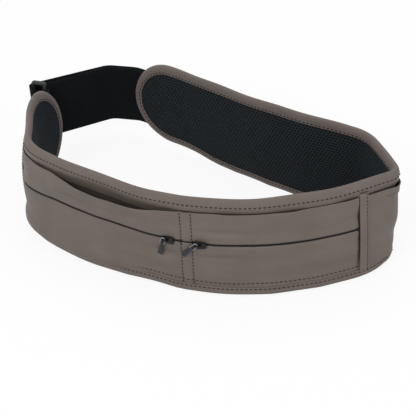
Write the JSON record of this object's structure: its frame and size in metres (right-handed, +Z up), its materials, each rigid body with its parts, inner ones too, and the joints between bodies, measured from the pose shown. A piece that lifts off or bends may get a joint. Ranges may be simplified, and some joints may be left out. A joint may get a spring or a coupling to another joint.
{
  "type": "money belt",
  "caption": "Padded waist belt with zipped front pockets, slip pockets behind them, a side pocket and a wide elastic strap through a loop.",
  "frame": {"origin": "centre of the closed belt's outline seen from above, on the surface that its lower edge stands on", "axes": "+X towards the wearer's left, seen from the front as right; +Y from the front to the back; +Z up"},
  "size_m": [0.3042, 0.2558, 0.09],
  "materials": {
    "nylon": "taupe plain-weave nylon",
    "binding": "taupe grosgrain binding tape",
    "lining": "taupe lining nylon",
    "foam": "closed-cell padding",
    "mesh": "black spacer mesh",
    "zip_tape": "black woven zip tape",
    "coil": "black nylon coil",
    "slider_metal": "black lacquer",
    "bright_metal": "bright zinc",
    "tab_rubber": "dark blue-grey moulded tab",
    "elastic": "black ribbed elastic",
    "hook_loop": "black hook and loop tape",
    "webbing": "black webbing",
    "ring_plastic": "dark acetal"
  },
  "bodies": {
    "belt": {"edge_binding": "binding", "foam_core": "foam", "front_lower_panel": "nylon", "front_upper_panel": "nylon", "left_trim": "binding", "left_zip_coil": "coil", "left_zip_stops": "slider_metal", "left_zip_tape_lower": "zip_tape", "left_zip_tape_upper": "zip_tape", "loop_patch": "hook_loop", "mesh_lining": "mesh", "mouth_facing": "nylon", "outer_shell": "nylon", "pocket_lining": "lining", "rear_trim": "binding", "right_trim": "binding", "right_zip_coil": "coil", "right_zip_stops": "slider_metal", "right_zip_tape_lower": "zip_tape", "right_zip_tape_upper": "zip_tape", "ring_keeper": "webbing", "side_pocket_panel": "nylon", "strap_main": "elastic"},
    "left_slider": {"left_slider": "slider_metal"},
    "right_slider": {"right_slider": "slider_metal"},
    "left_eye": {"left_pull_eye": "bright_metal"},
    "right_eye": {"right_pull_eye": "bright_metal"},
    "left_tab": {"left_pull_tab": "tab_rubber"},
    "right_tab": {"right_pull_tab": "tab_rubber"},
    "ring": {"strap_ring": "ring_plastic"},
    "tail": {"strap_tail": "elastic", "hook_patch": "hook_loop"}
  },
  "joints": [
    {"name": "left_slider_travel", "type": "hinge", "parent": "belt", "child": "left_slider", "pos_m": [0.208, 0.34737, 0.048], "axis": [0, 0, -1], "range_deg": [0, 11.9]},
    {"name": "right_slider_travel", "type": "hinge", "parent": "belt", "child": "right_slider", "pos_m": [0.04749, 0.06794, 0.048], "axis": [0, 0, 1], "range_deg": [0, 34.7]},
    {"name": "left_eye_swing", "type": "hinge", "parent": "left_slider", "child": "left_eye", "pos_m": [-0.03412, -0.11085, 0.048], "axis": [-0.4612, -0.8873, 0], "range_deg": [-65, 30]},
    {"name": "left_tab_lift", "type": "hinge", "parent": "left_eye", "child": "left_tab", "pos_m": [-0.03509, -0.11035, 0.04394], "axis": [-0.8571, 0.4455, 0.2588], "range_deg": [0, 100]},
    {"name": "right_eye_swing", "type": "hinge", "parent": "right_slider", "child": "right_eye", "pos_m": [-0.0093, -0.12151, 0.048], "axis": [-0.2701, -0.9628, 0], "range_deg": [-35, 50]},
    {"name": "right_tab_lift", "type": "hinge", "parent": "right_eye", "child": "right_tab", "pos_m": [-0.01216, -0.12071, 0.04503], "axis": [-0.6808, 0.191, 0.7071], "range_deg": [0, 100]},
    {"name": "ring_swivel", "type": "hinge", "parent": "belt", "child": "ring", "pos_m": [-0.13734, 0.09598, 0.04425], "axis": [0, 0, 1], "range_deg": [-3, 3]},
    {"name": "strap_peel", "type": "hinge", "parent": "belt", "child": "tail", "pos_m": [-0.14803, 0.09995, 0.04425], "axis": [0, 0, 1], "range_deg": [0, 100]}
  ]
}
